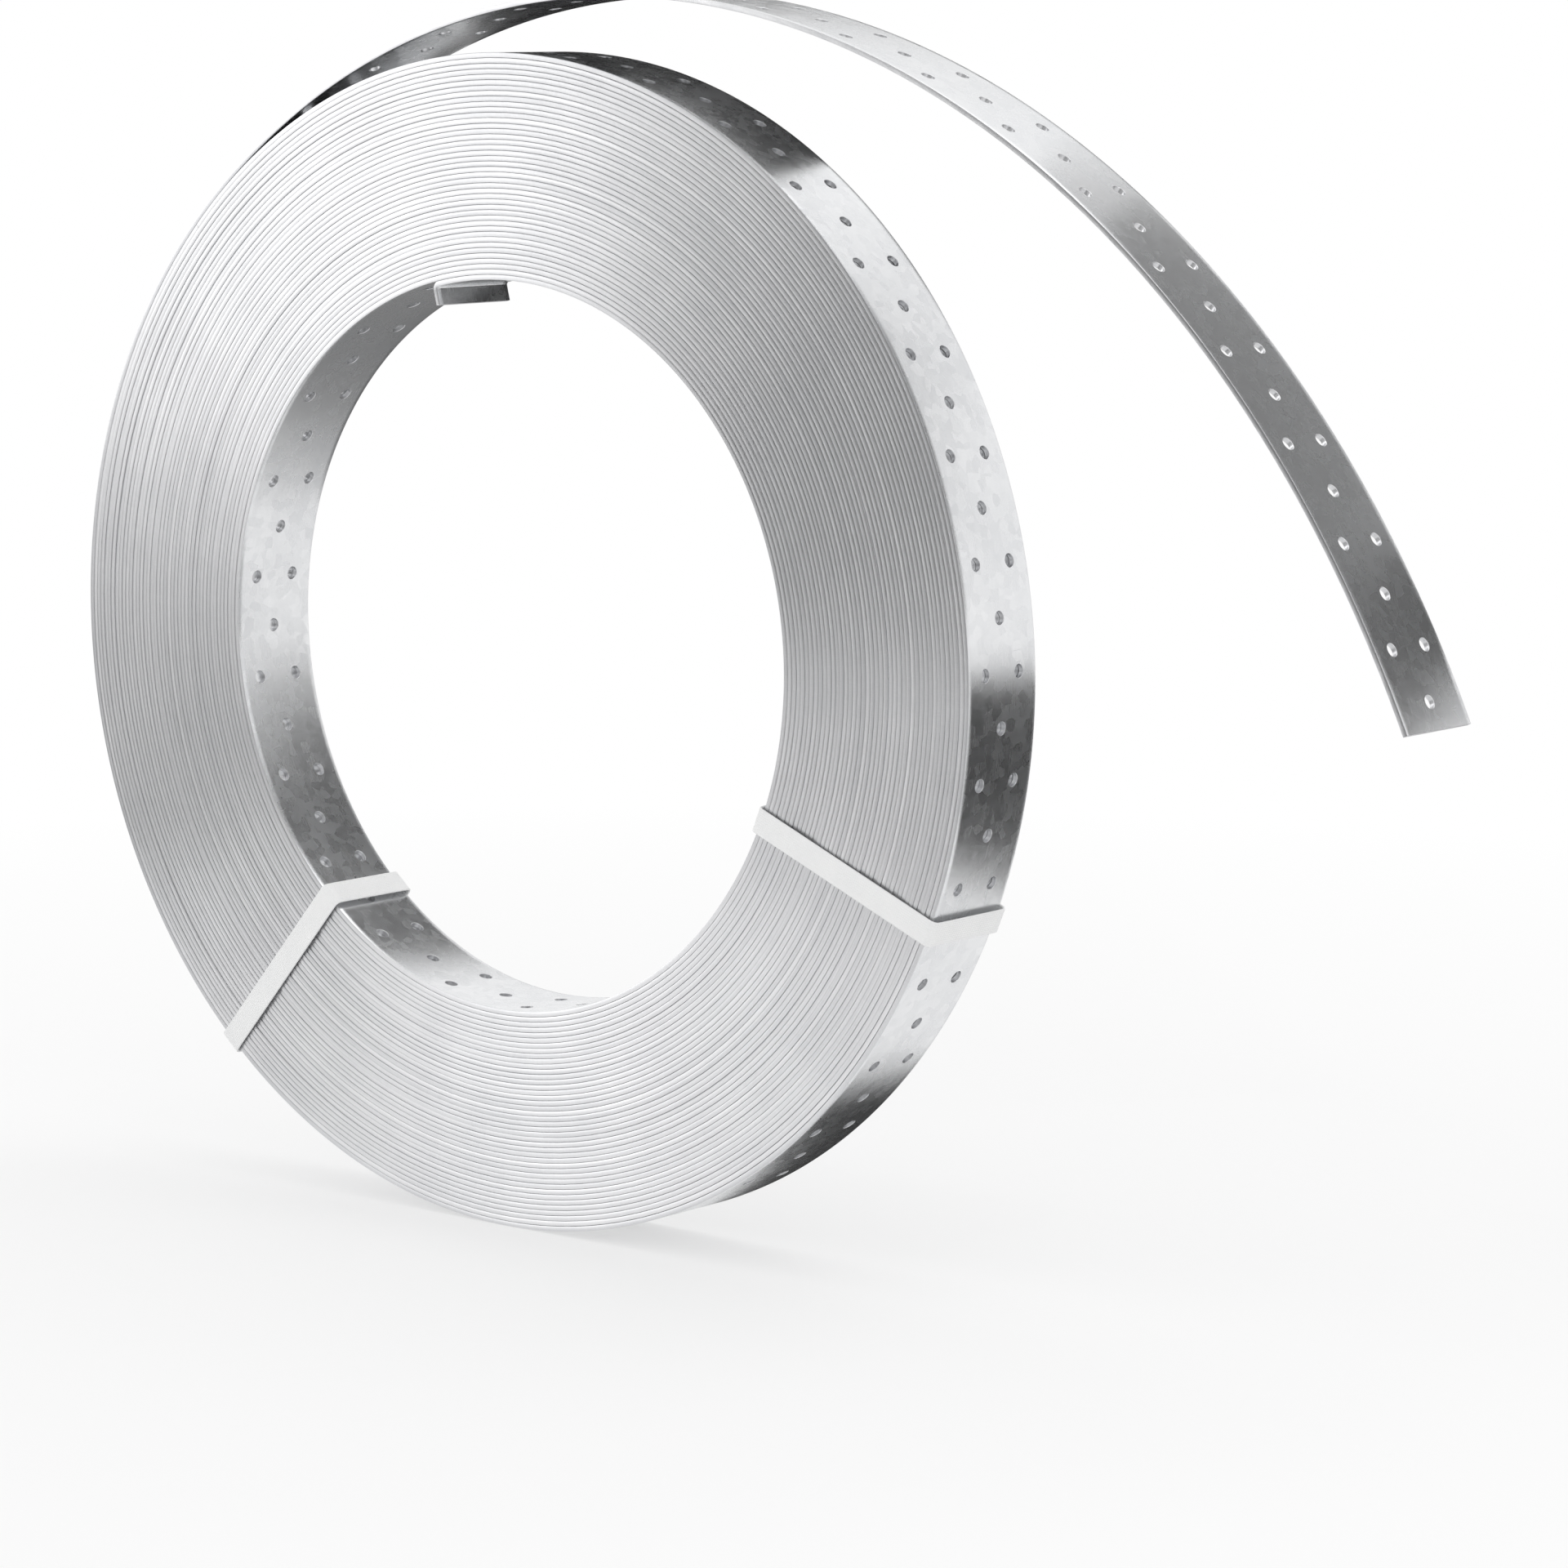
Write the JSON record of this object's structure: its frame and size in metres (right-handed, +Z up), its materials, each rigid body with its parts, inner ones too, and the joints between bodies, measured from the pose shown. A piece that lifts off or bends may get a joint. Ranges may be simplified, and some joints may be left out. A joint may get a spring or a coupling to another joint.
{
  "type": "perforated steel strap",
  "caption": "Coil of flat galvanised steel strap with rows of round nail holes, its outer end free in a wide arc, held by plastic ties; stands on its rim.",
  "frame": {"origin": "middle of the flat that the coil rests on, straight below the coil's axis, half way along the strap's width", "axes": "+Z up; the coil's axis runs along Y with the pictured side facing -Y; the free end reaches towards +X"},
  "size_m": [0.6395, 0.0442, 0.4759],
  "materials": {
    "galvanised_steel": "satin galvanised",
    "tie_lower_left_plastic": "white polypropylene",
    "tie_right_plastic": "white polypropylene"
  },
  "bodies": {
    "root": {"perforated_strap": "galvanised_steel", "tie_lower_left": "tie_lower_left_plastic", "tie_right": "tie_right_plastic"}
  },
  "joints": []
}
